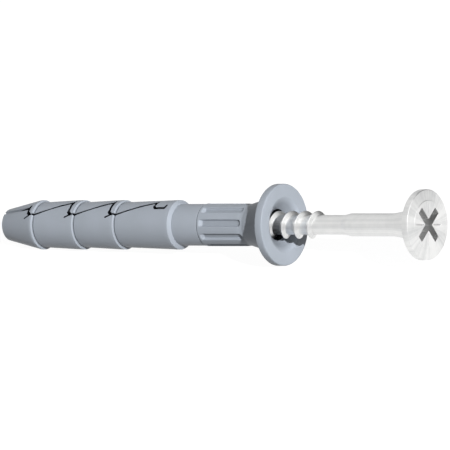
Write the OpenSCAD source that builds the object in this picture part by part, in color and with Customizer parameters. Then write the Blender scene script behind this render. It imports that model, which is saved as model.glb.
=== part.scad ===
// Hammer-in wall anchor: a barbed, slit nylon sleeve with a thin collar, and the nail screw
// that stands in its bore as delivered. Driven home, the nail spreads the sleeve's two legs.
//
// Both pieces are built along +X in the anchor's own frame. X = 0 is the front face of the
// collar, the tip of the sleeve points to -X and the head of the nail screw to +X. Angles
// about the axis are counted from -Y towards +Z. The last step lays the anchor on z = 0.

/* [Sleeve] */
// Length of the sleeve from the back of the collar to its tip
sleeve_len = 40.25; // [37:0.05:60]
// Diameter over the barb lips, which is the size of the drilled hole
barb_d = 6.05; // [5.8:0.05:7]
// Diameter behind each lip, where the next barb starts
root_d = 5.5; // [5.2:0.05:5.8]
// Diameter of the sleeve at its tip
tip_d = 3.85; // [3.4:0.05:4.8]
// Rounding of the edge at the tip
tip_edge = 0.15; // [0.05:0.05:0.3]
// Number of barbs
barbs = 4; // [2:1:4]
// Distance from the tip to the first lip
first_lip = 5.2; // [4:0.05:6]
// Distance from one lip to the next
barb_pitch = 6.15; // [5.4:0.05:6.6]
// Extra length of the last barb, the one at the neck
last_extra = 2.1; // [1.2:0.05:3]
// Flat land along each lip
lip_land = 0.5; // [0.2:0.05:0.6]
// Flat land along the first lip
first_land = 0.3; // [0.1:0.05:0.5]
// Step in radius by which each lip after the first swells out of its barb's taper
lip_swell = 0.03; // [0.01:0.01:0.1]
// Length of that swelling
swell_len = 0.7; // [0.2:0.05:1]
// Length of the steep face behind each lip
lip_back = 0.14; // [0.05:0.01:0.4]
// Length of the steep face behind the last lip, where the neck starts
last_back = 0.3; // [0.1:0.01:0.5]

/* [Neck] */
// Diameter of the plain neck between the last barb and the flutes
neck_d = 5.1; // [4.8:0.05:5.2]
// Diameter over the ribs between the flutes
rib_d = 5.2; // [5.1:0.01:5.4]
// Diameter of the low ring where the flutes begin
ring_d = 5.22; // [5.2:0.01:5.5]
// Length over which that ring falls back to the ribs
ring_len = 0.6; // [0.3:0.05:0.8]
// Distance from the back of the collar to the end of the ribs
flutes_from = 4.1; // [3.8:0.05:5]
// Length of the ribs, from that end to the low ring
flutes_len = 6.45; // [4:0.05:7]
// Length of the bevel that ends each rib
rib_bevel = 0.3; // [0.1:0.05:0.6]
// Number of flutes
flutes = 9; // [6:1:10]
// Width of each flute
flute_w = 0.92; // [0.5:0.02:1]
// Depth of each flute below the ribs
flute_depth = 0.19; // [0.1:0.01:0.25]
// Length of the sloped run-out at the ring's end of each flute
flute_run = 0.65; // [0.3:0.05:1]
// Angle of the first flute about the axis
flute_turn = 4.5; // [0:0.5:39.5]
// Diameter of the cone under the collar where it meets the collar
cone_d = 7.1; // [6:0.1:8]
// Diameter of the sleeve between the ribs and that cone
stub_d = 5.13; // [5:0.01:5.2]
// Length of the cone under the collar
cone_len = 3.65; // [1:0.05:3.7]

/* [Collar] */
// Diameter of the collar
collar_d = 10; // [9:0.1:14]
// Thickness of the collar
collar_t = 1.05; // [0.8:0.05:1.5]
// Rounding of the collar's front edge
collar_edge = 0.16; // [0.05:0.01:0.3]
// Diameter of the dish where it meets the collar's face, before that edge is rounded
dish_d = 6.75; // [6:0.05:7.4]
// Depth of the dish
dish_depth = 1.1; // [0.7:0.05:1.3]
// Rounding between the dish and the collar's face
dish_round = 0.8; // [0.2:0.05:1]

/* [Bore] */
// Diameter of the bore's mouth, at the foot of the dish
mouth_d = 3.85; // [3.7:0.05:4]
// Length of that mouth
mouth_len = 2.4; // [1:0.1:2.8]
// Clearance between the thread and the guiding bore, on the radius
bore_gap = 0.05; // [0.03:0.01:0.1]
// Diameter of the narrow bore that the nail spreads
spread_d = 2.5; // [2.2:0.05:2.7]
// Length of the funnel from the guiding bore to the narrow one
funnel_len = 1.6; // [1:0.1:3]

/* [Slits] */
// Middle of the first slit about the axis; the second lies opposite
slit_turn = 47; // [0:1:89]
// Width of the slanting slits
slit_w = 0.2; // [0.15:0.01:0.23]
// Width of the straight slot from the tip to the first lip
tip_slot_w = 0.3; // [0.25:0.01:0.35]
// Width of the slots that cross them behind each lip
hook_w = 0.28; // [0.24:0.01:0.32]
// Distance of those slots from the lip
hook_back = 0.76; // [0.65:0.01:0.9]
// Half the width of the zigzag, side to side
zigzag_w = 1.25; // [0.9:0.05:1.3]
// Length of the straight slot that ends the slit
slit_end = 1.3; // [1:0.05:1.8]

/* [Nail screw] */
// Whole length of the nail screw
nail_len = 45; // [42:0.5:48]
// Distance from the collar's face to the underside of the head, as delivered
stand_out = 20.25; // [18:0.05:24]
// Diameter of the shank between the threads
shank_d = 2.4; // [2.2:0.05:2.6]
// Diameter of the plain body under the head
body_d = 2.8; // [2.7:0.05:3.2]
// Distance from the underside of the head to the end of that body
body_end = 10.5; // [8:0.05:12]
// Length of the step from the body to the shank
body_step = 0.4; // [0.2:0.05:1]
// Length of the taper from the body to the seat under the head
nail_taper = 2.8; // [2:0.05:5]
// Length of the point
point_len = 3.4; // [2.5:0.1:4.5]
// Diameter of the point's blunt end
point_d = 0.24; // [0.1:0.02:0.4]

/* [Thread] */
// Diameter over the thread
thread_d = 3.4; // [3.2:0.05:3.5]
// Distance from one crest to the next
thread_pitch = 1.95; // [1.7:0.05:2.4]
// Which way the thread winds
thread_hand = -1; // [-1:Left hand, 1:Right hand]
// Distance from the underside of the head to the last full crest
thread_end = 15.2; // [14:0.05:17]
// Length of the flank that faces the point
lead_flank = 0.5; // [0.3:0.05:0.7]
// Length of the steep flank that faces the head
hold_flank = 0.22; // [0.1:0.02:0.4]
// Flat along the crest
crest_w = 0.1; // [0.05:0.01:0.2]

/* [Head] */
// Diameter of the head
head_d = 8.6; // [7.8:0.1:9.6]
// Thickness of the head at its rim
head_rim = 0.88; // [0.5:0.02:1.2]
// Diameter of the flat disc in the middle of the head
disc_d = 5.9; // [5.6:0.05:6.6]
// Rise of the head's face from its rim to that disc
crown = 0.16; // [0.02:0.01:0.4]
// Bevel around the rim's back edge
rim_bevel = 0.1; // [0.04:0.02:0.2]
// Rounding of the rim's front edge
rim_round = 0.16; // [0.04:0.02:0.3]
// Gap that the head's seat keeps to the dish when it is driven home
seat_gap = 0.04; // [0.02:0.01:0.1]

/* [Recess] */
// Diameter of the cross recess over its wings
recess_d = 4.95; // [4:0.05:5.2]
// Diameter of the recess at its floor
recess_floor_d = 3; // [2:0.1:3.6]
// Depth of the recess
recess_depth = 1.9; // [1.4:0.05:2.2]
// Width of each wing
wing_w = 0.9; // [0.7:0.02:1.1]
// Diameter of the round core where the wings cross
core_d = 1.54; // [1.3:0.02:1.7]
// Width of the fine marks between the wings
mark_w = 0.12; // [0.06:0.01:0.16]
// Depth of those marks
mark_depth = 0.1; // [0.04:0.01:0.15]
// Distance of the marks' inner ends from the axis
mark_from = 1; // [0.9:0.05:1.2]
// Distance of the marks' outer ends from the axis
mark_to = 2.6; // [1.8:0.05:2.7]

/* [Rest] */
// Turn of the whole anchor about its axis as it lies
roll = 20; // [0:1:90]

/* [Hidden] */

$fn = 96;
// Steps of the small arcs in the outlines
arc_steps = 6;
// How far a cutter runs past the surface that it cuts
over = 0.5;

// Radii of the sleeve
tip_r = tip_d / 2;
lip_r = barb_d / 2;
root_r = root_d / 2;
neck_r = neck_d / 2;
rib_r = rib_d / 2;
ring_r = ring_d / 2;
stub_r = stub_d / 2;
collar_r = collar_d / 2;
mouth_r = mouth_d / 2;
guide_r = thread_d / 2 + bore_gap;
spread_r = spread_d / 2;

// Radii of the nail screw's head
head_r = head_d / 2;
disc_r = disc_d / 2;

// Places along the sleeve
back_x = -collar_t;
tip_x = back_x - sleeve_len;
ribs_x = back_x - flutes_from;
ring_x = ribs_x - flutes_len;
// Length of the steep face where the low ring rises from the neck
ring_rise = 0.06;
function lip_x(i) = tip_x + first_lip + i * barb_pitch + (i == barbs - 1 ? last_extra : 0);

// Places along the nail screw
seat_x = stand_out;
face_x = seat_x + head_rim;
top_x = face_x + crown;
point_x = top_x - nail_len;
shank_x = point_x + point_len;
crest_x = seat_x - thread_end;
thread_x = shank_x + lead_flank + thread_pitch / 2;

// The dish is a cone down to the bore's mouth, and its rounded edge starts a little outside it
dish_r = dish_d / 2;
dish_slope = atan(dish_depth / (dish_r - mouth_r));
dish_edge_r = dish_r + dish_round * tan(dish_slope / 2);

// Points of an arc about [r, x], from angle a to angle b, counted from the r axis
function arc(r, x, size, a, b) =
    [for (i = [0 : arc_steps]) let (t = a + (b - a) * i / arc_steps)
        [r + size * cos(t), x + size * sin(t)]];

// A turned solid about the X axis, from an outline of [radius, x] points
module turned(outline) {
    rotate([0, 90, 0]) rotate_extrude() polygon(outline);
}

// Puts its children, built to stand on the axis along +Z, at an angle about the axis
module around(angle) {
    rotate([90 - angle, 0, 0]) children();
}

// Outline of one barb: its taper ends in a lip, and a steep face drops behind it
function barb(i) = [
    if (i > 0) [lip_r - lip_swell, lip_x(i) - lip_land - swell_len],
    [lip_r, lip_x(i) - (i > 0 ? lip_land : first_land)],
    [lip_r, lip_x(i)],
    i < barbs - 1 ? [root_r, lip_x(i) + lip_back] : [neck_r, lip_x(i) + last_back]
];

sleeve_outside = [
    [tip_r - tip_edge, tip_x],
    [tip_r, tip_x + tip_edge],
    for (i = [0 : barbs - 1]) each barb(i),
    [neck_r, ring_x - ring_rise],
    [ring_r, ring_x],
    [rib_r, ring_x + ring_len],
    [rib_r, ribs_x - rib_bevel],
    [stub_r, ribs_x],
    [stub_r, back_x - cone_len],
    [cone_d / 2, back_x],
    [collar_r - collar_edge / 2, back_x],
    [collar_r, back_x + collar_edge / 2],
    each arc(collar_r - collar_edge, -collar_edge, collar_edge, 0, 90)
];

// The bore, from the dish down to the tip
sleeve_inside = [
    each arc(dish_edge_r, -dish_round, dish_round, 90, 90 + dish_slope),
    [mouth_r, -dish_depth],
    [mouth_r, -dish_depth - mouth_len],
    [guide_r, -dish_depth - mouth_len - (mouth_r - guide_r)],
    [guide_r, shank_x],
    [spread_r, shank_x - funnel_len],
    [spread_r, tip_x]
];

// One flute: a flat-bottomed groove with a round end and a sloped run-out
module flute() {
    floor_r = rib_r - flute_depth;
    start_x = ring_x + ring_len;
    length = ribs_x + rib_bevel / 2 - start_x;
    intersection() {
        translate([start_x, 0, floor_r]) linear_extrude(over) {
            translate([0, -flute_w / 2]) square([length - flute_w / 2, flute_w]);
            translate([length - flute_w / 2, 0]) circle(d = flute_w);
        }
        rotate([90, 0, 0]) linear_extrude(flute_w + over, center = true) polygon([
            [start_x + flute_run, floor_r],
            [ribs_x + rib_bevel, floor_r],
            [ribs_x + rib_bevel, floor_r + over],
            [start_x - flute_run * (over / flute_depth - 1), floor_r + over]
        ]);
    }
}

// A straight slot in the plan view, from p to q, with round ends
module slot(p, q, width) {
    run = q - p;
    translate(p) rotate(atan2(run[1], run[0])) translate([0, -width / 2]) square([norm(run), width]);
    translate(p) circle(d = width);
    translate(q) circle(d = width);
}

// Sides of the zigzag, as shares of its half width: where each hook turns and ends, and where
// the slanting slit starts outside that end and meets the next hook
hook_turn = -0.64 * zigzag_w;
hook_side = -0.88 * zigzag_w;
zig_start = -1.18 * zigzag_w;
zig_meet = 0.68 * zigzag_w;
// Distances from the lip back to the end of the hook and to the start of the slanting slit
hook_end = 0.42;
zig_back = 1.2;
// Distance from the end of the last slanting slit to the middle of the slot that crosses it
bend_shift = 0.04;
// Width of the kinks that end the slit
thin_w = 0.75 * hook_w;
// How far the slit's straight parts stray from its middle line
stray = 0.25;
// Length of the short kinks in the straight slot that ends the slit
kink = 0.33;

// The slit through one side of the sleeve, seen from outside. Behind each lip it doubles
// back round a hook, and from there it slants on to the next barb.
module slit() {
    last_x = lip_x(0) + (barbs - 1) * barb_pitch - hook_back;
    bend_x = last_x + bend_shift;
    linear_extrude(lip_r + over) {
        slot([tip_x - over, 0], [lip_x(0) - hook_back, -stray], tip_slot_w);
        for (i = [0 : barbs - 2]) {
            this_lip = lip_x(0) + i * barb_pitch;
            turn_x = this_lip - hook_back;
            slot([turn_x, i == 0 ? stray : zigzag_w], [turn_x, hook_turn], hook_w);
            slot([turn_x, hook_turn], [this_lip - hook_end, hook_side], hook_w);
            slot([this_lip - zig_back, zig_start], [turn_x + barb_pitch, zig_meet], slit_w);
        }
        slot([bend_x, zigzag_w], [bend_x, stray], thin_w);
        slot([bend_x, stray], [bend_x + kink, -stray], thin_w);
        slot([bend_x + kink, -stray], [bend_x + kink + slit_end, -stray], slit_w);
        slot([bend_x + kink + slit_end, -stray], [bend_x + slit_end + 2 * kink, stray], thin_w);
    }
}

// The moulded sleeve with its collar, flutes and two slits
module sleeve() {
    color([0.59, 0.62, 0.66]) difference() {
        turned(concat(sleeve_outside, sleeve_inside));
        for (i = [0 : flutes - 1]) around(flute_turn + i * 360 / flutes) flute();
        for (side = [0, 180]) around(slit_turn + side) slit();
    }
}

// The turned form of the nail screw: point, shank, body, seat and head. The seat follows the
// dish in the collar, a small gap away.
nail_outline = [
    [0, point_x],
    [point_d / 2, point_x],
    [shank_d / 2, shank_x],
    [shank_d / 2, seat_x - body_end - body_step],
    [body_d / 2, seat_x - body_end],
    [body_d / 2, seat_x - dish_depth - nail_taper],
    [mouth_r - seat_gap, seat_x - dish_depth],
    [dish_r - seat_gap, seat_x],
    [head_r - rim_bevel, seat_x],
    [head_r, seat_x + rim_bevel],
    each arc(head_r - rim_round, face_x - rim_round, rim_round, 0, 90),
    [disc_r, top_x],
    [0, top_x]
];

// The thread: one ridge wound along the shank, its section set by the two flanks. Its foot
// runs a little below the shank's surface, and both its ends sink into the shank.
turn_steps = 24;
fade_steps = 8;
foot_sink = 0.12;
end_sink = 0.04;
thread_rise = (thread_d - shank_d) / 2;
thread_turns = floor((crest_x - thread_x) / thread_pitch);
ridge_steps = thread_turns * turn_steps + turn_steps / 2 + fade_steps;

// Share of the full height at a step: the ridge grows out of the shank and sinks back
function ridge_share(i) = min(1, i / fade_steps, (ridge_steps - i) / fade_steps);

// Radius and shift along the axis of the section's four corners
function ridge_section(share) =
    let (
        foot = shank_d / 2 - foot_sink,
        top = shank_d / 2 - end_sink + (thread_rise + end_sink) * share,
        lead = lead_flank * (top - foot) / thread_rise,
        hold = hold_flank * (top - foot) / thread_rise
    )
    [[foot, -crest_w / 2 - lead], [top, -crest_w / 2], [top, crest_w / 2], [foot, crest_w / 2 + hold]];

// The ridge's crest passes crest_x on top of the shank and winds down from there
function ridge_points() =
    [for (i = [0 : ridge_steps])
        let (
            back = ridge_steps - fade_steps - i,
            angle = 90 + thread_hand * back * 360 / turn_steps,
            x = crest_x - back * thread_pitch / turn_steps
        )
        for (p = ridge_section(ridge_share(i)))
            [x + p[1], -p[0] * cos(angle), p[0] * sin(angle)]];

// The four sides between two sections, then the two ends
ridge_sides = [for (i = [0 : ridge_steps - 1]) for (k = [0 : 3])
    let (a = 4 * i + k, b = 4 * i + (k + 1) % 4) each [[a, b, b + 4], [a, b + 4, a + 4]]];
ridge_ends = [[3, 2, 1, 0], [for (k = [0 : 3]) 4 * ridge_steps + k]];

// Turns each face over when the ridge winds the other way
function facing(faces) =
    thread_hand > 0 ? faces : [for (f = faces) [for (k = [len(f) - 1 : -1 : 0]) f[k]]];

module thread() {
    polyhedron(points = ridge_points(), faces = facing(concat(ridge_sides, ridge_ends)), convexity = 8);
}

// The cross recess: two crossed slots whose flat ends slope in, and a round core. The wings
// stand at 45 degrees to the four fine marks between them.
module recess() {
    for (turn = [45, 135]) around(turn)
        rotate([90, 0, 0]) linear_extrude(wing_w, center = true) polygon([
            [top_x - recess_depth, -recess_floor_d / 2],
            [top_x - recess_depth, recess_floor_d / 2],
            [top_x, recess_d / 2],
            [top_x + over, recess_d / 2],
            [top_x + over, -recess_d / 2],
            [top_x, -recess_d / 2]
        ]);
    translate([top_x - recess_depth, 0, 0]) rotate([0, 90, 0])
        cylinder(d = core_d, h = recess_depth + over);
    for (turn = [0 : 90 : 270]) around(turn)
        translate([top_x - mark_depth, -mark_w / 2, mark_from])
            cube([mark_depth + over, mark_w, mark_to - mark_from]);
}

// The cold-formed nail screw with its thread and head
module nail_screw() {
    color([0.86, 0.87, 0.88]) difference() {
        union() {
            turned(nail_outline);
            thread();
        }
        recess();
    }
}

// The anchor lies on the back edge of its collar and on its first lip, so its tip is low
rest_x = back_x + collar_edge / 2;
lip_rest_x = lip_x(0) - first_land;
lean = atan((collar_r - lip_r) / (rest_x - lip_rest_x));
lift = collar_r * cos(lean) - rest_x * sin(lean);

// Middle of the anchor's length as it lies, which is put at the origin
tip_end_x = tip_x * cos(lean) - (tip_r - tip_edge) * sin(lean);
head_end_x = top_x * cos(lean) + disc_r * sin(lean);
middle_x = (tip_end_x + head_end_x) / 2;

module laid_down() {
    translate([-middle_x, 0, lift]) rotate([0, -lean, 0]) rotate([-roll, 0, 0]) children();
}

laid_down() sleeve();
laid_down() nail_screw();
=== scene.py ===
# %% [markdown]
# # A hammer-in wall anchor
# The real thing is two pieces: a moulded nylon sleeve, and a cold-formed steel nail screw that
# waits in the sleeve's bore. The solid model is loaded first and never changed. It says where
# everything is, and each finer piece made below takes the place of one of its solids.

# %% Load the solid model
import math

import bpy
import numpy as np
from mathutils import Matrix


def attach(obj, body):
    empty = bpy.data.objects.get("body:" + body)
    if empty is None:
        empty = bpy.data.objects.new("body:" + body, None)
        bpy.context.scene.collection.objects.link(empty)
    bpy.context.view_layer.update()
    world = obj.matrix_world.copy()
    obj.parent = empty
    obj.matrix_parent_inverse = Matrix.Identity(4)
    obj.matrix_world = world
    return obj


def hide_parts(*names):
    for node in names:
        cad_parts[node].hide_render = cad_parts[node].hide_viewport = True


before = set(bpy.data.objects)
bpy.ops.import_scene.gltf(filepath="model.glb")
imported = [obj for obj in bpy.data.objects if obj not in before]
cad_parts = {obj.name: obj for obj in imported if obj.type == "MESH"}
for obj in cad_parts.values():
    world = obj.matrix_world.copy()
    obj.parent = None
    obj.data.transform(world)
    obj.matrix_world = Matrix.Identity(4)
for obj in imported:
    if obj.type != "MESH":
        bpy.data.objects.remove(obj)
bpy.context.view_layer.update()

# %% [markdown]
# ## Where the anchor lies
# Shapes are worked out in the anchor's own frame, in millimetres: X runs along the axis towards
# the screw's head, X = 0 is the front face of the collar, and angles about the axis are counted
# from -Y towards +Z. The anchor lies on the back edge of its collar and on its first barb, so
# its axis leans a little. One function lays any array of points down in that way, and another
# turns the places of a finished mesh back again.

# %% Lay points down
MM = 0.001
ROLL = math.radians(20)

SLEEVE_LEN, COLLAR_T, COLLAR_R, COLLAR_EDGE = 40.25, 1.05, 5.0, 0.16
LIP_R, FIRST_LIP, FIRST_LAND, TIP_R, TIP_EDGE = 3.025, 5.2, 0.3, 1.925, 0.15
NAIL_LEN, POINT_LEN = 45, 3.4
HEAD_X, HEAD_RIM, CROWN, DISC_STEP, DISC_R = 20.25, 0.88, 0.125, 0.035, 2.95

BACK_X = -COLLAR_T
TIP_X = BACK_X - SLEEVE_LEN
FACE_X = HEAD_X + HEAD_RIM
TOP_X = FACE_X + CROWN + DISC_STEP
POINT_X = TOP_X - NAIL_LEN
SHANK_X = POINT_X + POINT_LEN

rest_x = BACK_X + COLLAR_EDGE / 2
LEAN = math.atan((COLLAR_R - LIP_R) / (rest_x - (TIP_X + FIRST_LIP - FIRST_LAND)))
lift = COLLAR_R * math.cos(LEAN) - rest_x * math.sin(LEAN)
tip_end = TIP_X * math.cos(LEAN) - (TIP_R - TIP_EDGE) * math.sin(LEAN)
head_end = TOP_X * math.cos(LEAN) + DISC_R * math.sin(LEAN)
SHIFT = np.array([-(tip_end + head_end) / 2, 0, lift])
TURN = np.array(Matrix.Rotation(-LEAN, 3, "Y") @ Matrix.Rotation(-ROLL, 3, "X"))


def laid_down(points):
    """The points turned by -ROLL about X, then by -LEAN about Y, shifted, and put in metres."""
    return (np.asarray(points) @ TURN.T + SHIFT) * MM


def depth_below(obj, skin):
    """Stores a depth at each vertex, in mm and never below 0: what skin(x, radius, angle) gives
    for the vertex in the anchor's frame, which is the laid-down place turned back again."""
    places = np.empty(len(obj.data.vertices) * 3)
    obj.data.vertices.foreach_get("co", places)
    x, y, z = ((places.reshape(-1, 3) / MM - SHIFT) @ TURN).T
    below = np.maximum(0, skin(x, np.hypot(y, z), np.arctan2(z, -y)))
    obj.data.attributes.new("depth", "FLOAT", "POINT").data.foreach_set("value", below)
    print(obj.name, "deepest:", round(float(below.max()), 2), "mm")


print(f"lean {math.degrees(LEAN):.2f} degrees, lift {lift:.3f} mm")

# %% [markdown]
# ## Helpers for turned shapes
# Both pieces are mostly bodies of revolution. A profile is a list of corners, each with its x,
# its radius and its rounding, because a mould or a cold-forming die never leaves a truly sharp
# corner, and those small roundings are what catches the light. The profile is then carried
# round the axis on a grid. A modifier such as Screw would do the turning too, but on a grid the
# radius can also depend on the angle, and the sleeve's flutes need that.

# %% Profiles, grids and meshes
SHARP_FROM = math.radians(32)


def rounded(corners, steps=4):
    """Rows of x, radius and rounding to a smooth path. Each corner becomes the circular arc
    that touches both its sides, written as a rational curve: with w the cosine of half the
    turn, ((1-s)^2 a + 2 w s (1-s) p + s^2 b) / ((1-s)^2 + 2 w s (1-s) + s^2)."""
    rows = np.array(corners, float)
    p, size = rows[:, :2], rows[1:-1, 2]
    before, after = p[1:-1] - p[:-2], p[2:] - p[1:-1]
    length_b, length_a = np.linalg.norm(before, axis=1), np.linalg.norm(after, axis=1)
    before, after = before / length_b[:, None], after / length_a[:, None]
    half = 0.5 * np.arccos(np.clip((before * after).sum(1), -1, 1))
    trim = np.minimum(size * np.tan(half), 0.48 * np.minimum(length_b, length_a))[:, None]
    a, b, mid = p[1:-1] - before * trim, p[1:-1] + after * trim, p[1:-1]
    s = np.linspace(0, 1, steps + 1)[None, :, None]
    w = np.cos(half)[:, None, None]
    weights = (1 - s) ** 2, 2 * w * s * (1 - s), s ** 2
    arcs = sum(k * q[:, None] for k, q in zip(weights, (a, mid, b))) / sum(weights)
    path = np.concatenate([p[:1], arcs.reshape(-1, 2), p[-1:]])
    apart = np.linalg.norm(np.diff(path, axis=0), axis=1) > 1e-4
    return path[np.concatenate([[True], apart])]


def around_axis(x, radius, angle):
    """Points at distance radius from the axis, at an angle from -Y towards +Z."""
    x, radius, angle = np.broadcast_arrays(x, radius, angle)
    return np.stack([x, -radius * np.cos(angle), radius * np.sin(angle)], axis=-1)


def outward_and_across(turn):
    """Two directions at an angle about the axis: straight away from it, and square to that."""
    return np.array([0.0, -math.cos(turn), math.sin(turn)]), np.array([0.0, math.sin(turn), math.cos(turn)])


def grid_quads(rows, cols, rows_meet):
    """The corner numbers of each quad between neighbours on a grid whose columns close round;
    the last row joins the first where rows_meet."""
    i = np.arange(rows if rows_meet else rows - 1)[:, None]
    j = np.arange(cols)[None, :]
    below, above = i * cols, (i + 1) % rows * cols
    beside = (j + 1) % cols
    return np.stack([below + j, below + beside, above + beside, above + j], axis=-1).reshape(-1, 4)


def piece(name, grid, rows_meet=False):
    """A mesh object from a grid of points in the anchor's frame, with one face over each end
    unless the rows meet. Its faces point out: the sum of p0 . (p1 x p2) over both halves of
    every quad, seen from the middle of the points, is positive."""
    rows, cols = grid.shape[:2]
    points = laid_down(grid.reshape(-1, 3))
    quads = grid_quads(rows, cols, rows_meet)
    ends = [] if rows_meet else [list(range(cols))[::-1], list(range((rows - 1) * cols, rows * cols))]
    mesh = bpy.data.meshes.new(name)
    mesh.from_pydata(points.tolist(), [], quads.tolist() + ends)
    p = (points - points.mean(0))[quads]
    if sum((p[:, 0] * np.cross(p[:, k], p[:, k + 1])).sum() for k in (1, 2)) < 0:
        mesh.flip_normals()
    obj = bpy.data.objects.new(name, mesh)
    bpy.context.scene.collection.objects.link(obj)
    return obj


def combine(obj, tools, operation):
    """Applies one boolean after another, and deletes the tools."""
    bpy.context.view_layer.objects.active = obj
    for tool in tools:
        step = obj.modifiers.new("combine", "BOOLEAN")
        step.operation, step.solver, step.object = operation, "MANIFOLD", tool
        bpy.ops.object.modifier_apply(modifier=step.name)
        bpy.data.objects.remove(tool)


def smooth(obj):
    """Shades the mesh smooth, apart from edges that turn by more than SHARP_FROM."""
    obj.data.polygons.foreach_set("use_smooth", np.ones(len(obj.data.polygons), bool))
    obj.data.set_sharp_from_angle(angle=SHARP_FROM)
    print(obj.name, "faces:", len(obj.data.polygons))


print("sharp from", round(math.degrees(SHARP_FROM)), "degrees")

# %% [markdown]
# ## The sleeve's profile
# The sleeve is injection-moulded nylon. Each barb is a slow taper that swells into a lip and
# drops back steeply, so that it slides into the drilled hole and won't come out. Behind the
# barbs come a plain neck, the fluted part, a stub and the cone under the collar. The collar
# has a dish that takes the screw's trumpet head, and the bore runs from there to the tip. The
# profile goes once round that section, starting and ending inside the bore.

# %% The sleeve's profile
ROOT_R, BARBS, BARB_PITCH, LAST_EXTRA = 2.775, 4, 6.15, 2.1
LIP_LAND, LIP_SWELL, SWELL_LEN, LIP_BACK, LAST_BACK = 0.5, 0.03, 0.7, 0.14, 0.3
# The creases are real grooves; below_sleeve also paints them dark, as painted shade.
CREASE, CREASE_RUN = 0.055, 0.12
NECK_R, RIB_R, RING_R, RING_LEN, RING_RISE, STUB_R = 2.55, 2.6, 2.61, 0.2, 0.1, 2.565
CONE_R, CONE_LEN, RIB_BEVEL = 3.55, 3.65, 0.3
DISH_R, DISH_DEPTH, DISH_ROUND, DISH_KINK = 3.375, 1.1, 0.25, (-0.5, 2.6, 0.8)
MOUTH_R, MOUTH_LEN, GUIDE_R, SPREAD_R, FUNNEL_LEN = 1.925, 2.4, 1.75, 1.25, 1.6
FLUTE_W, FLUTE_DEPTH, FLUTE_RUN = 0.94, 0.34, 0.45

RIBS_X = BACK_X - 4.1
RING_X = RIBS_X - 6.2
FLUTE_FROM, FLUTE_TO = RING_X + RING_LEN, RIBS_X + 0.23
FLUTE_ROUND_X = FLUTE_TO - FLUTE_W / 2
MOUTH_END_X = -DISH_DEPTH - MOUTH_LEN


def lip_x(i):
    """Place of the i-th lip along the axis; the last barb is longer than the others."""
    return TIP_X + FIRST_LIP + i * BARB_PITCH + LAST_EXTRA * (i == BARBS - 1)


def barb(i):
    """Corners of one barb: start of the swelling, land, lip, and the crease at the foot of its
    back face, where the mould's shut-off line leaves a fine groove, finest at the last lip."""
    is_last = i == BARBS - 1
    foot, back, crease = (NECK_R, LAST_BACK, CREASE / 3) if is_last else (ROOT_R, LIP_BACK, CREASE)
    x = lip_x(i)
    swell = [(x - LIP_LAND - SWELL_LEN, LIP_R - LIP_SWELL, 1.5)] if i else []
    land = LIP_LAND if i else FIRST_LAND
    return swell + [(x - land, LIP_R, 0.5), (x, LIP_R, 0.04), (x + back, foot - crease, 0.02),
                    (x + back + CREASE_RUN, foot, 0.1)]


# rows of the grid stand close where a flute's ramp and its round end are
flute_rows = np.concatenate([
    np.arange(FLUTE_FROM + 0.02, FLUTE_FROM + FLUTE_RUN + 0.1, 0.05),
    np.linspace(FLUTE_FROM + 1, FLUTE_ROUND_X - 0.1, 5),
    np.arange(FLUTE_ROUND_X, FLUTE_TO + 0.05, 0.03)])
rib_r = np.interp(flute_rows, [RIBS_X - RIB_BEVEL, RIBS_X], [RIB_R, STUB_R])
in_bore = (-28, SPREAD_R, 0)
sleeve_corners = [
    in_bore, (TIP_X, SPREAD_R, 0.1), (TIP_X, TIP_R, 0.2),
    *(corner for i in range(BARBS) for corner in barb(i)),
    (RING_X - RING_RISE - 0.1, NECK_R, 0.06), (RING_X - RING_RISE, NECK_R - CREASE, 0.03),
    (RING_X, RING_R, 0.05), (FLUTE_FROM, RIB_R, 0.5),
    *((x, r, 0) for x, r in zip(flute_rows, rib_r)),
    (BACK_X - CONE_LEN, STUB_R, 2), (BACK_X, CONE_R, 0.25),
    (BACK_X, COLLAR_R, COLLAR_EDGE / 2), (0, COLLAR_R, COLLAR_EDGE),
    (0, DISH_R, DISH_ROUND), DISH_KINK, (-DISH_DEPTH, MOUTH_R, 0.04),
    (-DISH_DEPTH - 0.06, MOUTH_R, 0), (MOUTH_END_X, MOUTH_R, 0.1), (MOUTH_END_X - 0.175, GUIDE_R, 0.1),
    (SHANK_X, GUIDE_R, 0.3), (SHANK_X - FUNNEL_LEN, SPREAD_R, 0.3), in_bore]
sleeve_path = rounded(sleeve_corners)[:-1]
print("profile points:", len(sleeve_path))

# %% [markdown]
# ## The flutes
# Nine shallow flutes keep the sleeve from turning in the wall. Each has a flat floor, a round
# end towards the collar and a ramp at the other end. They are part of the moulding, so they
# aren't cut out afterwards: the radius of the turned surface simply drops inside each outline.
# The columns of the grid stand closer together at a flute's edges, where the wall is.

# %% The sleeve's surface
FLUTES, FLUTE_TURN, WALL = 9, math.radians(4.5), 0.13

FLUTE_STEP = 2 * math.pi / FLUTES
edge = math.degrees(math.asin(FLUTE_W / 2 / RIB_R))
side = np.array([1.2, 3.4, 5.2, 6.6, edge - 1.8, edge - 1.35, edge - 0.9, edge - 0.45, edge,
                 edge + 0.5, edge + 1.6, 13.2, 15.6, 18.6])
one_flute = np.radians(np.concatenate([-side[::-1], side]))
angles = (FLUTE_TURN + np.arange(FLUTES)[:, None] * FLUTE_STEP + one_flute[None, :]).ravel()


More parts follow.
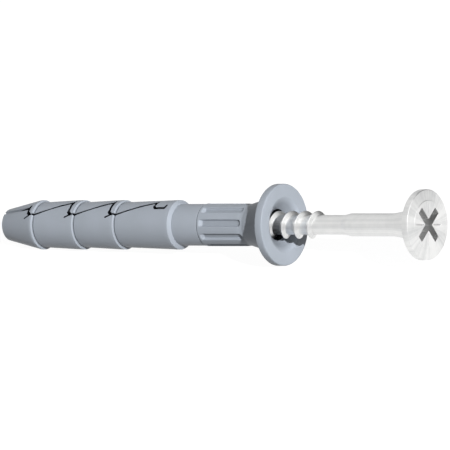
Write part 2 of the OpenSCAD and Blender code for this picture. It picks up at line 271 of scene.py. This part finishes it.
def fluted(x, radius, angle):
    """The radius falls to a flat floor, floor / cos(turn), where a point is inside the outline
    of a flute: nearer than half its width to its middle line or, past that line's end, to the
    end point. Over WALL inside the outline it falls as the smooth step 3t^2 - 2t^3."""
    turn = (angle - FLUTE_TURN + FLUTE_STEP / 2) % FLUTE_STEP - FLUTE_STEP / 2
    past_end = np.maximum(0, x - FLUTE_ROUND_X)
    inside = FLUTE_W / 2 - np.hypot(RIB_R * np.sin(turn), past_end)
    t = np.clip(inside / WALL, 0, 1)
    ramp = np.maximum(0, FLUTE_FROM + FLUTE_RUN - x) * FLUTE_DEPTH / FLUTE_RUN
    floor = (RIB_R - FLUTE_DEPTH + ramp) / np.cos(turn)
    within = (x > FLUTE_FROM) & (x < FLUTE_TO) & (radius > NECK_R)
    return radius - np.where(within, np.maximum(0, radius - floor), 0) * t * t * (3 - 2 * t)


x, radius = sleeve_path[:, :1], sleeve_path[:, 1:]
sleeve = piece("moulded_sleeve", around_axis(x, fluted(x, radius, angles), angles), rows_meet=True)
print("grid:", len(sleeve_path), "by", len(angles))

# %% [markdown]
# ## The slits
# A zigzag slit on each side splits the sleeve into two legs, which the nail drives apart. From
# the tip it runs straight to the first lip, doubles back round a hook behind it, and slants on
# to the next barb. The real slit goes right through the wall, so it is cut: each stretch is a
# narrow block with round ends, pushed in from outside and taken away with a boolean. The
# slanting ones widen towards the hook, as a slit does whose legs have opened a little.

# %% Cut the slits
SLIT_TURN, SLIT_W, SLIT_END_W = math.radians(47), 0.22, 0.42
TIP_SLOT_W, HOOK_W, HOOK_BACK, LAST_W = 0.42, 0.4, 0.76, 0.36
END_POINTS, BLOCK_FROM, BLOCK_OVER = 9, 0.2, 0.5


def slit_block(turn, start, end, width, end_width=None):
    """A block with half-round ends in plan: the outline is each end's half circle of points,
    and end_width is given where the two differ. It stands out along the radius at angle turn,
    from near the axis to outside the lips."""
    start, end = np.array(start, float), np.array(end, float)
    heading = math.atan2(*(end - start)[::-1])
    half = np.linspace(math.pi / 2, 3 * math.pi / 2, END_POINTS)
    both = np.concatenate([half, half + math.pi]) + heading
    widths = np.repeat([width, end_width or width], END_POINTS)[:, None]
    plan = np.stack([np.cos(both), np.sin(both)], axis=1) * widths / 2
    plan += np.repeat([start, end], END_POINTS, axis=0)
    out, across = outward_and_across(turn)
    flat = plan[:, :1] * [[1, 0, 0]] + plan[:, 1:] * across
    return piece("slit_block", np.stack([flat + BLOCK_FROM * out, flat + (LIP_R + BLOCK_OVER) * out]))


# each stretch: its start and end, as places along the axis and across it, and its widths
stretches = [((TIP_X - 0.5, 0.02), (lip_x(0) - HOOK_BACK, -0.2), TIP_SLOT_W)]
for i in range(BARBS - 1):
    lip = lip_x(i)
    stretches += [
        ((lip - HOOK_BACK, 1.25 if i else 0.2), (lip - HOOK_BACK, -0.8), HOOK_W),
        ((lip - HOOK_BACK, -0.8), (lip - 0.42, -1.1), HOOK_W),
        ((lip - 1.2, -1.44), (lip + BARB_PITCH - HOOK_BACK, 0.85), SLIT_W, SLIT_END_W)]
last = TIP_X + FIRST_LIP + (BARBS - 1) * BARB_PITCH
hook = [(last - 0.5, 1.1), (last - 0.58, 0.15), (last - 0.3, -0.18), (last + 1.15, -0.2), (last + 1.25, 0.25)]
stretches += [(a, b, LAST_W) for a, b in zip(hook, hook[1:])]
combine(sleeve, [slit_block(turn, *s) for turn in (SLIT_TURN, SLIT_TURN + math.pi) for s in stretches],
        "DIFFERENCE")
print("stretches on each side:", len(stretches))

# %% [markdown]
# ## How deep the sleeve's walls lie
# The walls inside the slits and the bore get hardly any light, so their colour is painted nearly
# black as shade, and the creases at the lips' feet and at the ring are painted dark too; the dish
# and the flutes are painted a little darker. How far each vertex lies below the skin is known from
# the profile, so it is worked out once and stored on the mesh, where the material can read it.
# That works from every side, also in an exported model, and needs no picture.

# %% Depth in the sleeve
DISH_SHADE, DISH_EDGE, FLUTE_SHADE = 0.025, 0.08, 0.06
BEHIND_DISH = -DISH_DEPTH - 0.03

skin_x, rows = np.unique(sleeve_path[2:, 0].round(4), return_index=True)
skin_r = sleeve_path[2:, 1][rows]


def below_sleeve(x, radius, angle):
    """Depth below the turned and fluted skin behind the dish's foot, from which the nylon gets its
    painted shade. Past the first lip the skin is nowhere below the barbs' root or the neck, so the
    creases count, and are painted dark as shade. The dish and the flutes are open, and get only a
    small depth, at which the colour is painted a little darker as shade."""
    level = np.where(x < lip_x(BARBS - 1), ROOT_R, NECK_R) * (x > lip_x(0))
    plain = np.maximum(np.interp(x, skin_x, skin_r), level)
    skin = fluted(x, plain, angle)
    in_dish = DISH_SHADE * np.clip(-x / DISH_EDGE, 0, 1) * (radius < DISH_R + 0.3)
    return np.where(x < BEHIND_DISH, skin - radius + FLUTE_SHADE * (plain - skin), in_dish)


depth_below(sleeve, below_sleeve)
smooth(sleeve)

# %% [markdown]
# ## The nail's body
# The nail is headed from steel wire: a point, a thin shank, a thicker body, a trumpet that fits
# the collar's dish, and a flat head with a low disc on it. It is turned like the sleeve. The
# shank and the body have some extra rows, so that no face is very long and thin.

# %% The nail's body
SHANK_R, BODY_R, BODY_END, BODY_STEP, TAPER = 1.2, 1.4, 10.3, 0.85, 2.8
POINT_R, HEAD_R, RIM_BEVEL, RIM_ROUND, SEAT_GAP = 0.12, 4.3, 0.08, 0.08, 0.04

body_x = HEAD_X - BODY_END
step_x = body_x - BODY_STEP
taper_x = HEAD_X - DISH_DEPTH - TAPER
nail_corners = [
    (POINT_X, 0.02, 0), (POINT_X, POINT_R, 0.05), (SHANK_X, SHANK_R, 1.5),
    *((x, SHANK_R, 0) for x in np.linspace(SHANK_X + 0.6, step_x - 0.5, 9)),
    (step_x, SHANK_R, 1.5), (body_x, BODY_R, 1.5),
    *((x, BODY_R, 0) for x in np.linspace(body_x + 1, taper_x - 1, 5)),
    (taper_x, BODY_R, 6), (HEAD_X - DISH_DEPTH, MOUTH_R - SEAT_GAP, 0.5),
    (HEAD_X, DISH_R - SEAT_GAP, 0.3),
    (HEAD_X, HEAD_R, RIM_BEVEL), (FACE_X, HEAD_R, RIM_ROUND),
    (FACE_X + CROWN, DISC_R + 0.03, 0.02), (TOP_X, DISC_R, 0.04),
    *((TOP_X, r, 0) for r in (2.4, 1.8, 1.2, 0.6)), (TOP_X, 0.1, 0)]
nail_path = rounded(nail_corners, 5)
nail_angles = np.linspace(0, 2 * math.pi, 193)[:-1]
nail = piece("cold_formed_nail", around_axis(nail_path[:, :1], nail_path[:, 1:], nail_angles))
print("profile points:", len(nail_path))

# %% [markdown]
# ## The thread
# The thread is rolled into the shank between two dies. It only has to let a driver back the
# nail out again, so it is a low ridge with a sharp flank that holds and a slow one that leads.
# Here a small section is wound along a helix and sinks into the shank at both ends, and a
# boolean joins it to the shank, so that the two are one skin.

# %% The thread
THREAD_RISE, PITCH, HAND, CREST_X = 0.5, 1.95, -1, HEAD_X - 15.2
LEAD, HOLD, CREST = 0.5, 0.22, 0.1
TURNS, TURN_STEPS, FADE, END_SINK = 12.5, 128, 1 / 3, 0.05

section = rounded([
    (-CREST / 2 - LEAD - 0.15, -0.06, 0), (-CREST / 2 - LEAD, 0.01, 0.15), (-CREST / 2, THREAD_RISE, 0.2),
    (CREST / 2, THREAD_RISE, 0.15), (CREST / 2 + HOLD, 0.01, 0.08), (CREST / 2 + HOLD + 0.12, -0.06, 0)])
wound = np.arange(-TURN_STEPS * FADE, TURN_STEPS * TURNS + 1) / TURN_STEPS
share = np.clip(np.minimum(wound + FADE, TURNS - wound) / FADE, 0, 1)[:, None]
rise = section[:, 1]
height = np.where(rise > 0, rise * share - END_SINK * (1 - share), rise)
ridge = piece("ridge", around_axis(
    CREST_X - wound[:, None] * PITCH + section[:, 0], SHANK_R + height,
    math.pi / 2 + HAND * wound[:, None] * 2 * math.pi))
combine(nail, [ridge], "UNION")
print("turns:", TURNS, "section points:", len(section))

# %% [markdown]
# ## The cross recess
# The header punches the recess into the disc on the head: two crossed slots whose ends slope
# inwards, and a fine mark between each two wings. A punch is exactly how it is made here too,
# as a tapered bar that a boolean takes away. The depth below the head's top is stored as well,
# for everything inside the outline.

# %% Punch the recess
RECESS_R, RECESS_FLOOR_R, RECESS_DEPTH, CORE_R = 2.475, 2.2, 1.9, 0.77
WING_W, WING_TAPER, PUNCH_OVER = 0.98, 0.06, 0.3
MARK_FROM, MARK_TO, MARK_W, MARK_FLOOR_W, MARK_DEPTH = 1.0, 2.6, 0.16, 0.04, 0.15


def punch(turn, inner, outer, floor_outer, width, floor_width, depth):
    """A tapered bar at an angle about the axis, given by its plan at the face and at depth:
    the outline is four corners at each level, the top one drawn out past the face."""
    grow = PUNCH_OVER / depth
    levels = np.array([
        [-depth, inner, floor_outer, floor_width],
        [PUNCH_OVER, inner, outer + grow * (outer - floor_outer), width + grow * (width - floor_width)]])
    plan = np.array([[[a, -w / 2], [b, -w / 2], [b, w / 2], [a, w / 2]] for _, a, b, w in levels])
    along, across = outward_and_across(turn)
    x = (TOP_X + levels[:, :1, None]) * [[[1, 0, 0]]]
    return piece("punch", x + plan[..., :1] * along + plan[..., 1:] * across)


core = piece("core", around_axis(TOP_X + np.array([[-RECESS_DEPTH], [PUNCH_OVER]]), CORE_R, nail_angles[::4]))
wings = [punch(math.radians(45 + 90 * k), 0, RECESS_R, RECESS_FLOOR_R, WING_W, WING_W - WING_TAPER, RECESS_DEPTH)
         for k in range(4)]
marks = [punch(math.radians(90 * k), MARK_FROM, MARK_TO, MARK_TO - 0.05, MARK_W, MARK_FLOOR_W, MARK_DEPTH)
         for k in range(4)]
combine(nail, [core] + wings + marks, "DIFFERENCE")
outline_x, rows = np.unique(nail_path[:, 0].round(4), return_index=True)
outline_r = nail_path[rows, 1]


def below_head(x, radius, angle):
    """Depth below the head's top for what lies inside the nail's outline, and none on it."""
    return np.where(radius < np.interp(x, outline_x, outline_r) - 0.05, TOP_X - x, 0)


# The zinc material paints shade into the recess and the marks with this depth.
depth_below(nail, below_head)
smooth(nail)

# %% [markdown]
# ## Helpers for materials
# Colours are written as the hex values that a screen shows, and one function turns them to the
# linear values that the shader needs. Another adds a node with its settings and links. Two more
# give what both materials start from: places in the anchor's own frame, so that a pattern lies
# along its axis, and a colour that changes with the stored depth, which paints shade into the
# hollows.

# %% Colours and nodes
def linear(hex_colour):
    """Each of the three channels, c = value / 255, becomes c / 12.92 where it is small, and
    otherwise ((c + 0.055) / 1.055) ^ 2.4."""
    c = np.array([int(hex_colour[k:k + 2], 16) for k in (1, 3, 5)]) / 255
    return (*np.where(c <= 0.04045, c / 12.92, ((c + 0.055) / 1.055) ** 2.4).tolist(), 1.0)


def add(tree, kind, inputs=None, **settings):
    """A new node: settings are its own options, and inputs gives each socket a value or a link."""
    node = tree.nodes.new("ShaderNode" + kind)
    for name, value in settings.items():
        setattr(node, name, value)
    for key, value in (inputs or {}).items():
        if isinstance(value, bpy.types.NodeSocket):
            tree.links.new(value, node.inputs[key])
        else:
            node.inputs[key].default_value = value
    return node


def new_material(name):
    """An empty node material and its tree."""
    material = bpy.data.materials.new(name)
    material.use_nodes = True
    material.node_tree.nodes.clear()
    return material, material.node_tree


def in_the_anchor(tree):
    """Places in the anchor's own frame, in metres: the lay of the anchor is turned back."""
    place = add(tree, "TexCoord").outputs["Object"]
    lay = {"Location": (SHIFT * MM).tolist(), "Rotation": Matrix(TURN.tolist()).to_euler()}
    return add(tree, "Mapping", {"Vector": place, **lay}, vector_type="TEXTURE").outputs["Vector"]


def painted_shade_by_depth(tree, colour, inside, start, end):
    """Painted shade: the colour fades to the inside colour as the stored depth goes from start
    to end, in mm.
    """
    depth = add(tree, "Attribute", attribute_name="depth").outputs["Fac"]
    share = add(tree, "MapRange", {"Value": depth, "From Min": start, "From Max": end})
    mix = add(tree, "Mix", {"Factor": share.outputs["Result"], "A": colour, "B": linear(inside)},
              data_type="RGBA")
    return mix.outputs["Result"]


WHITE = linear("#FFFFFF")
print("white:", WHITE)

# %% [markdown]
# ## Moulded nylon
# The sleeve is polyamide, moulded in a light blue grey. The mould is spark-eroded, so the skin
# has a fine even grain and a soft sheen, with faint clouds where the melt cooled unevenly. The
# grain is a noise of about 0.15 mm and the clouds are one of about 4 mm. Shade is painted into
# the colour: the walls of the slits and the bore and the creases are painted nearly black, and
# the dish and the flutes a little darker than the rest.

# %% Nylon
nylon, tree = new_material("moulded_nylon")
place = in_the_anchor(tree)
clouds = add(tree, "TexNoise", {"Vector": place, "Scale": 260.0, "Detail": 3.0, "Roughness": 0.5})
grain = add(tree, "TexNoise", {"Vector": place, "Scale": 7000.0, "Detail": 2.0, "Roughness": 0.6})
tint = add(tree, "ValToRGB", {0: clouds.outputs["Fac"]})
low, high = tint.color_ramp.elements
low.position, low.color = 0.3, linear("#A1A8B1")
high.position, high.color = 0.7, linear("#A7AEB8")
gloss = add(tree, "MapRange", {"Value": grain.outputs["Fac"], "To Min": 0.36, "To Max": 0.48})
bump = add(tree, "Bump", {"Height": grain.outputs["Fac"], "Strength": 0.12, "Distance": 0.04 * MM})
# Painted shade: the colour goes nearly black with the stored depth in the slits, bore and creases.
shader = add(tree, "BsdfPrincipled", {
    "Base Color": painted_shade_by_depth(tree, tint.outputs["Color"], "#14161A", 0.015, 0.05),
    "Roughness": gloss.outputs["Result"], "IOR": 1.53, "Specular IOR Level": 0.3,
    "Normal": bump.outputs["Normal"]})
add(tree, "OutputMaterial", {"Surface": shader.outputs["BSDF"]})
print(nylon.name, "nodes:", len(tree.nodes))

# %% [markdown]
# ## Bright zinc
# The nail is drawn steel wire with a thin bright zinc plating, which doesn't hide the fine lines
# that the drawing die left along it. Upsetting the head spread those lines out like rays. One
# noise makes both: it is read along the direction away from the axis, so it stays the same
# along the shank and from the middle of the head to its rim. Lighter lines are also smoother.
# A broad noise adds wide light and dark wedges to the lines: painted sheen, in place of the way
# spread lines mirror the room. Inside the recess and the marks the colour fades with depth to one
# even grey, a little darker than most of the plating outside: the lines stop there, where the
# punch pressed the plating smooth, and the darker grey is painted shade.

# %% Zinc
LINES_AND_SHEEN_LOW, LINES_AND_SHEEN_HIGH = 0.8, 1.4

zinc, tree = new_material("bright_zinc_plating")
place = in_the_anchor(tree)
parts = add(tree, "SeparateXYZ", {"Vector": place}).outputs
outwards = add(tree, "CombineXYZ", {"Y": parts["Y"], "Z": parts["Z"]}).outputs["Vector"]
outwards = add(tree, "VectorMath", {0: outwards}, operation="NORMALIZE").outputs["Vector"]
# Painted sheen: wide light and dark wedges over the die's lines stand in for reflections.
painted_sheen_wedges = add(tree, "TexNoise", {"Vector": outwards, "Scale": 1.6, "Detail": 1.0, "Roughness": 0.5})
rays = add(tree, "TexNoise", {"Vector": outwards, "Scale": 7.0, "Detail": 5.0, "Roughness": 0.65})
clouds = add(tree, "TexNoise", {"Vector": place, "Scale": 900.0, "Detail": 4.0, "Roughness": 0.6})
both = add(tree, "Math", {0: painted_sheen_wedges.outputs["Fac"], 1: rays.outputs["Fac"]}, operation="ADD")
die_lines_and_sheen = add(tree, "Math", {0: clouds.outputs["Fac"], 1: 0.4, 2: both.outputs[0]}, operation="MULTIPLY_ADD")
in_range = {"Value": die_lines_and_sheen.outputs[0], "From Min": LINES_AND_SHEEN_LOW, "From Max": LINES_AND_SHEEN_HIGH}
tint = add(tree, "MapRange", in_range)
shade = add(tree, "Mix", {"Factor": tint.outputs["Result"], "A": linear("#DADBDB"), "B": linear("#FBFBFA")},
            data_type="RGBA")
gloss = add(tree, "MapRange", {**in_range, "To Min": 0.42, "To Max": 0.32})
bump = add(tree, "Bump", {"Height": rays.outputs["Fac"], "Strength": 0.25, "Distance": 0.06 * MM})
# Painted shade: in the recess and marks the colour fades to one even grey, darker than most outside.
shader = add(tree, "BsdfPrincipled", {
    "Base Color": painted_shade_by_depth(tree, shade.outputs["Result"], "#E8E8E8", 0.0, 0.12),
    "Metallic": 1.0, "Roughness": gloss.outputs["Result"], "Normal": bump.outputs["Normal"]})
add(tree, "OutputMaterial", {"Surface": shader.outputs["BSDF"]})
print(zinc.name, "nodes:", len(tree.nodes))

# %% [markdown]
# ## Hand the pieces over
# Each piece rides on the anchor's one rigid body, takes the place of its solid and gets its
# material. The nail screw moves only once, when it is hammered home, so it has no body of its own.

# %% Hand the pieces over
for obj, material, node, slot in ((sleeve, nylon, "sleeve", "nylon"), (nail, zinc, "nail_screw", "zinc_steel")):
    obj.data.materials.clear()
    obj.data.materials.append(material)
    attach(obj, "root")
    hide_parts(node)
    print(obj.name, "replaces", node)

# %% [markdown]
# ## The floor
# The anchor lies on a white surface. What the camera sees of it is a glow of nearly 1 and a
# faint matt part that takes the shadow. Metal mirrors it as white on the head's side and a
# little darker towards the tip. To all other rays it is a plain grey, so that little light
# comes up from it and the anchor's colours come out as they are written.

# %% Floor
REACH, BELOW = 4.0, -0.02 * MM


def seen_directly(tree):
    """The Light Path's outputs, and the larger of Is Camera Ray and Is Transmission Ray."""
    path = add(tree, "LightPath").outputs
    either = add(tree, "Math", {0: path["Is Camera Ray"], 1: path["Is Transmission Ray"]}, operation="MAXIMUM")
    return path, either.outputs[0]


floor_mesh = bpy.data.meshes.new("floor")
corners = [(-REACH, -REACH, BELOW), (REACH, -REACH, BELOW), (REACH, REACH, BELOW), (-REACH, REACH, BELOW)]
floor_mesh.from_pydata(corners, [], [(0, 1, 2, 3)])
floor = bpy.data.objects.new("floor", floor_mesh)
bpy.context.scene.collection.objects.link(floor)

white, tree = new_material("white_floor")
path, direct = seen_directly(tree)
matt = add(tree, "BsdfDiffuse", {"Color": linear("#898989")})
faint = add(tree, "BsdfDiffuse", {"Color": linear("#6C6C6C")})
glow = add(tree, "Emission", {"Color": WHITE, "Strength": 0.96})
shown = add(tree, "AddShader", {0: faint.outputs[0], 1: glow.outputs[0]})
along = add(tree, "SeparateXYZ", {"Vector": add(tree, "TexCoord").outputs["Object"]}).outputs["X"]
side = add(tree, "MapRange", {"Value": along, "From Min": 12 * MM, "From Max": 40 * MM, "To Min": 0.9})
mirrored = add(tree, "Emission", {"Color": WHITE, "Strength": side.outputs["Result"]})
mix = add(tree, "MixShader", {0: path["Is Glossy Ray"], 1: matt.outputs[0], 2: mirrored.outputs[0]})
mix = add(tree, "MixShader", {0: direct, 1: mix.outputs[0], 2: shown.outputs[0]})
add(tree, "OutputMaterial", {"Surface": mix.outputs[0]})
floor_mesh.materials.append(white)
print("floor reach:", REACH, "m")

# %% [markdown]
# ## The world
# The camera sees a white room. Matt surfaces get little light from it, more from the tip's side
# than from the head's, where the lamp is. Metal mirrors a room that is white on the head's side
# and darker behind the tip, with a soft box in front above the floor and one dark corner high
# up behind, as in a studio. Directions are given in the anchor's own frame.

# %% World
HEAD_AMBIENT, TIP_AMBIENT = 0.03, 0.33
TIP_SIDE, DARK_CORNER, SOFT_BOX = 0.75, 0.85, 1.35
HEADWARDS, CORNER_WAY, BOX_WAY = (1, 0, 0), (0.2, 0.68, 0.7), (0.45, -0.75, 0.4)

world = bpy.data.worlds.new("white_room")
bpy.context.scene.world = world
world.use_nodes = True
tree = world.node_tree
tree.nodes.clear()
path, direct = seen_directly(tree)
facing = add(tree, "TexCoord").outputs["Generated"]


def by_direction(direction, from_min, from_max, to_min, to_max, interpolation="SMOOTHSTEP"):
    """A level that goes from to_min to to_max as a ray of the world turns towards a direction in
    the anchor's frame: the dot product of the two goes from from_min to from_max."""
    way = TURN @ np.array(direction) / np.linalg.norm(direction)
    near = add(tree, "VectorMath", {0: facing, 1: way.tolist()}, operation="DOT_PRODUCT").outputs["Value"]
    level = add(tree, "MapRange", {"Value": near, "From Min": from_min, "From Max": from_max,
                                   "To Min": to_min, "To Max": to_max}, interpolation_type=interpolation)
    return level.outputs["Result"]


side = by_direction(HEADWARDS, -0.6, 0.3, TIP_SIDE, 1.0)
corner = by_direction(CORNER_WAY, 0.66, 0.86, 1.0, 1 - DARK_CORNER)
box = by_direction(BOX_WAY, 0.8, 0.98, 0.0, SOFT_BOX)
ambient = by_direction(HEADWARDS, -1.0, 1.0, TIP_AMBIENT, HEAD_AMBIENT, "LINEAR")
studio = add(tree, "Math", {0: side, 1: corner}, operation="MULTIPLY")
studio = add(tree, "Math", {0: studio.outputs[0], 1: box}, operation="ADD")
level = add(tree, "Mix", {"Factor": path["Is Glossy Ray"], "A": ambient, "B": studio.outputs[0]})
level = add(tree, "Mix", {"Factor": direct, "A": level.outputs["Result"], "B": 1.0})
back = add(tree, "Background", {"Color": WHITE, "Strength": level.outputs["Result"]})
add(tree, "OutputWorld", {"Surface": back.outputs[0]})
print("world nodes:", len(tree.nodes))

# %% [markdown]
# ## The lamp
# One lamp low on the head's side gives the form, and the collar's shadow on the neck. Mirrored
# rays don't meet it, because the soft box is what metal mirrors in its place.

# %% Lamp
KEY, KEY_WAY = 4.1, (0.795, -0.58, 0.17)

to_lamp = TURN @ np.array(KEY_WAY)
to_lamp /= np.linalg.norm(to_lamp)
level_way = np.cross([0, 0, 1], to_lamp)
lamp = bpy.data.lights.new("key", "SUN")
lamp.energy, lamp.angle = KEY, math.radians(1)
key = bpy.data.objects.new("key", lamp)
key.visible_glossy = False
lamp_axes = np.column_stack([level_way, np.cross(to_lamp, level_way), to_lamp])
key.matrix_world = Matrix(lamp_axes.tolist()).to_4x4()
bpy.context.scene.collection.objects.link(key)
print("lamp direction:", to_lamp.round(3))

# %% [markdown]
# ## The camera
# The anchor is seen from the head's side, about 54.5 degrees off its axis, and the picture is
# level with that axis. A very long lens far away keeps the ellipses of the collar and the head
# alike, as they are in a catalogue picture.

# %% Camera
ALONG, FRAME_MM, AIM = 0.58, 54.88, (-8.962, 0, -0.028)
LENS, SENSOR = 1500, 36

aside = math.sqrt(1 - ALONG ** 2)
axes = TURN @ np.array([[aside, 0, ALONG], [ALONG, 0, -aside], [0, 1, 0]])
distance = FRAME_MM / SENSOR * LENS * MM
cam = bpy.data.cameras.new("camera")
cam.lens, cam.sensor_width = LENS, SENSOR
cam.clip_start, cam.clip_end = 0.1, 20
camera = bpy.data.objects.new("camera", cam)
stand = Matrix(axes.tolist()).to_4x4()
stand.translation = (laid_down(AIM) + axes[:, 2] * distance).tolist()
camera.matrix_world = stand
bpy.context.scene.collection.objects.link(camera)
bpy.context.scene.camera = camera
bpy.context.scene.view_settings.view_transform = "Standard"
print("camera at", camera.location, "distance", distance)
